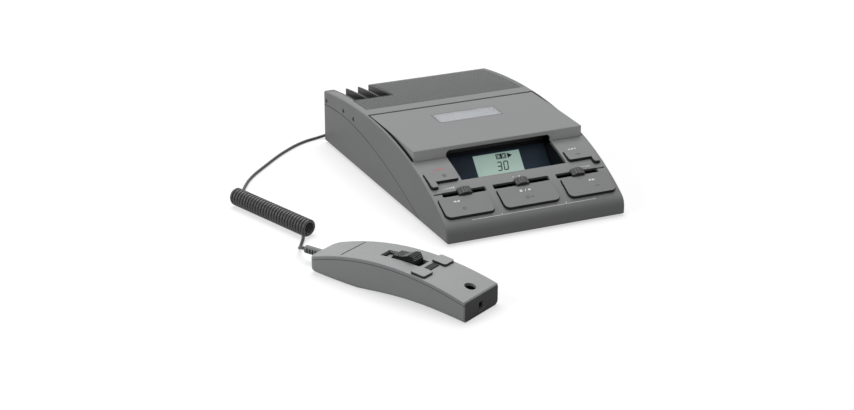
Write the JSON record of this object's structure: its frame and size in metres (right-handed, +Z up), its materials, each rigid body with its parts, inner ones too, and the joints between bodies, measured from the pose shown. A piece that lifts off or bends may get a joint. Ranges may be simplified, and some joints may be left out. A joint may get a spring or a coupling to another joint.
{
  "type": "desk dictation machine",
  "caption": "Low wedge-shaped desk dictation machine with a hinged cassette lid, tilted display, flap keys, sliders and a hand microphone on a curly cord.",
  "frame": {"origin": "on the table, at the middle of the rectangle that holds the desk unit and its microphone", "axes": "+Z up, +Y from the sloping front of the desk unit to its back, +X to the right seen from the front"},
  "size_m": [0.2518, 0.3592, 0.0493],
  "materials": {
    "case_plastic": "fine-textured mid grey moulding",
    "lid_plastic": "fine-textured mid grey moulding",
    "key_plastic": "fine-textured grey key cap",
    "mic_plastic": "fine-textured light grey moulding",
    "dark_plastic": "dark moulding",
    "display_dark": "polished blue-black pane",
    "lcd": "pale green liquid crystal glass",
    "window": "clear window plate",
    "steel": "bright steel",
    "brass": "turned brass",
    "nylon": "off-white moulding",
    "board": "green circuit board",
    "paper_cone": "pressed paper cone",
    "rubber": "black rubber",
    "cord": "satin black cord sheath"
  },
  "bodies": {
    "case": {"base_shell": "case_plastic", "top_shell": "case_plastic", "speaker_grille": "case_plastic", "cassette_rack": "case_plastic", "lid_hinge_pins": "steel", "display_housing": "dark_plastic", "display_pane": "display_dark", "lcd_glass": "lcd", "key_frame": "dark_plastic", "key_board": "board", "key_switches": "dark_plastic", "slider_tracks": "steel", "cassette_deck": "dark_plastic", "motor": "steel", "drive_belt": "rubber", "main_board": "board", "board_parts": "dark_plastic", "speaker_basket": "dark_plastic", "speaker_cone": "paper_cone", "mic_socket": "dark_plastic", "power_inlet": "dark_plastic", "earphone_jack": "dark_plastic", "foot_control_socket": "dark_plastic", "rubber_feet": "rubber", "case_screws": "steel", "cord_lead": "cord", "curly_cord": "cord", "cord_tail": "cord", "mic_plug": "rubber"},
    "lid": {"cassette_lid": "lid_plastic", "lid_window": "window"},
    "key_record": {"key_record": "key_plastic"},
    "key_search": {"key_search": "key_plastic"},
    "key_rewind": {"key_rewind": "key_plastic"},
    "key_stop_play": {"key_stop_play": "key_plastic"},
    "key_wind": {"key_wind": "key_plastic"},
    "slider_left": {"slider_left": "dark_plastic"},
    "slider_middle": {"slider_middle": "dark_plastic"},
    "slider_right": {"slider_right": "dark_plastic"},
    "motor_rotor": {"motor_pulley": "brass"},
    "drive": {"drive_wheel": "nylon", "drive_tyre": "rubber"},
    "reel_right": {"reel_right": "nylon"},
    "reel_left": {"reel_left": "nylon"},
    "head": {"head_carriage": "steel", "tape_head": "steel"},
    "microphone": {"mic_top_shell": "mic_plastic", "mic_bottom_shell": "mic_plastic", "mic_board": "board", "mic_switches": "dark_plastic", "mic_capsule": "dark_plastic", "mic_screws": "steel", "strain_relief": "rubber"},
    "thumb_slide": {"mic_thumb_slide": "dark_plastic", "mic_slide_plate": "nylon"},
    "mic_button_left": {"mic_button_left": "mic_plastic"},
    "mic_button_right": {"mic_button_right": "mic_plastic"},
    "mic_button_bar": {"mic_button_bar": "dark_plastic"}
  },
  "joints": [
    {"name": "lid_hinge", "type": "hinge", "parent": "case", "child": "lid", "pos_m": [0.05027, 0.08487, 0.0469], "axis": [-1, 0, 0], "range_deg": [0, 70]},
    {"name": "key_record_press", "type": "hinge", "parent": "case", "child": "key_record", "pos_m": [0.05027, -0.01032, 0.03036], "axis": [1, 0, 0], "range_deg": [0, 4], "stiffness_Nm_per_rad": 0.3, "springref_deg": -4.01},
    {"name": "key_search_press", "type": "hinge", "parent": "case", "child": "key_search", "pos_m": [0.05027, -0.01032, 0.03036], "axis": [1, 0, 0], "range_deg": [0, 4], "stiffness_Nm_per_rad": 0.3, "springref_deg": -4.01},
    {"name": "key_rewind_press", "type": "hinge", "parent": "case", "child": "key_rewind", "pos_m": [0.05027, -0.03437, 0.01978], "axis": [1, 0, 0], "range_deg": [0, 4], "stiffness_Nm_per_rad": 0.3, "springref_deg": -4.01},
    {"name": "key_stop_play_press", "type": "hinge", "parent": "case", "child": "key_stop_play", "pos_m": [0.05027, -0.03437, 0.01978], "axis": [1, 0, 0], "range_deg": [0, 4], "stiffness_Nm_per_rad": 0.3, "springref_deg": -4.01},
    {"name": "key_wind_press", "type": "hinge", "parent": "case", "child": "key_wind", "pos_m": [0.05027, -0.03437, 0.01978], "axis": [1, 0, 0], "range_deg": [0, 4], "stiffness_Nm_per_rad": 0.3, "springref_deg": -4.01},
    {"name": "slider_left_slide", "type": "slide", "parent": "case", "child": "slider_left", "axis": [1, 0, 0], "range_m": [-0.012, 0.012]},
    {"name": "slider_middle_slide", "type": "slide", "parent": "case", "child": "slider_middle", "axis": [1, 0, 0], "range_m": [-0.016, 0.016]},
    {"name": "slider_right_slide", "type": "slide", "parent": "case", "child": "slider_right", "axis": [1, 0, 0], "range_m": [-0.012, 0.012]},
    {"name": "motor_spin", "type": "hinge", "parent": "case", "child": "motor_rotor", "pos_m": [0.01027, 0.03557, 0.0127], "axis": [0, 0, 1], "continuous": true},
    {"name": "drive_spin", "type": "hinge", "parent": "case", "child": "drive", "pos_m": [0.0719, 0.04463, 0.02], "axis": [0, 0, 1], "continuous": true},
    {"name": "reel_right_spin", "type": "hinge", "parent": "case", "child": "reel_right", "pos_m": [0.06327, 0.05957, 0.03], "axis": [0, 0, 1], "continuous": true},
    {"name": "reel_left_spin", "type": "hinge", "parent": "case", "child": "reel_left", "pos_m": [0.03727, 0.05957, 0.03], "axis": [0, 0, 1], "continuous": true},
    {"name": "head_slide", "type": "slide", "parent": "case", "child": "head", "axis": [0, 1, 0], "range_m": [0, 0.003]},
    {"name": "mic_lift", "type": "slide", "parent": "case", "child": "microphone", "axis": [0, 0, 1], "range_m": [0, 0.06]},
    {"name": "mic_thumb_slide", "type": "slide", "parent": "microphone", "child": "thumb_slide", "axis": [-0.4939, 0.8695, 0], "range_m": [-0.003, 0.007]},
    {"name": "mic_left_press", "type": "slide", "parent": "microphone", "child": "mic_button_left", "axis": [-0.054, 0.095, -0.994], "range_m": [0, 0.0007], "stiffness_N_per_m": 1000, "springref_m": -0.001},
    {"name": "mic_right_press", "type": "slide", "parent": "microphone", "child": "mic_button_right", "axis": [-0.054, 0.095, -0.994], "range_m": [0, 0.0007], "stiffness_N_per_m": 1000, "springref_m": -0.001},
    {"name": "mic_bar_press", "type": "slide", "parent": "microphone", "child": "mic_button_bar", "axis": [-0.0519, 0.0914, -0.9945], "range_m": [0, 0.0007], "stiffness_N_per_m": 1000, "springref_m": -0.001}
  ],
  "couplings": [
    {"joint": "drive_spin", "follows": "motor_spin", "ratio": 0.33333},
    {"joint": "reel_right_spin", "follows": "motor_spin", "ratio": -0.18182}
  ]
}
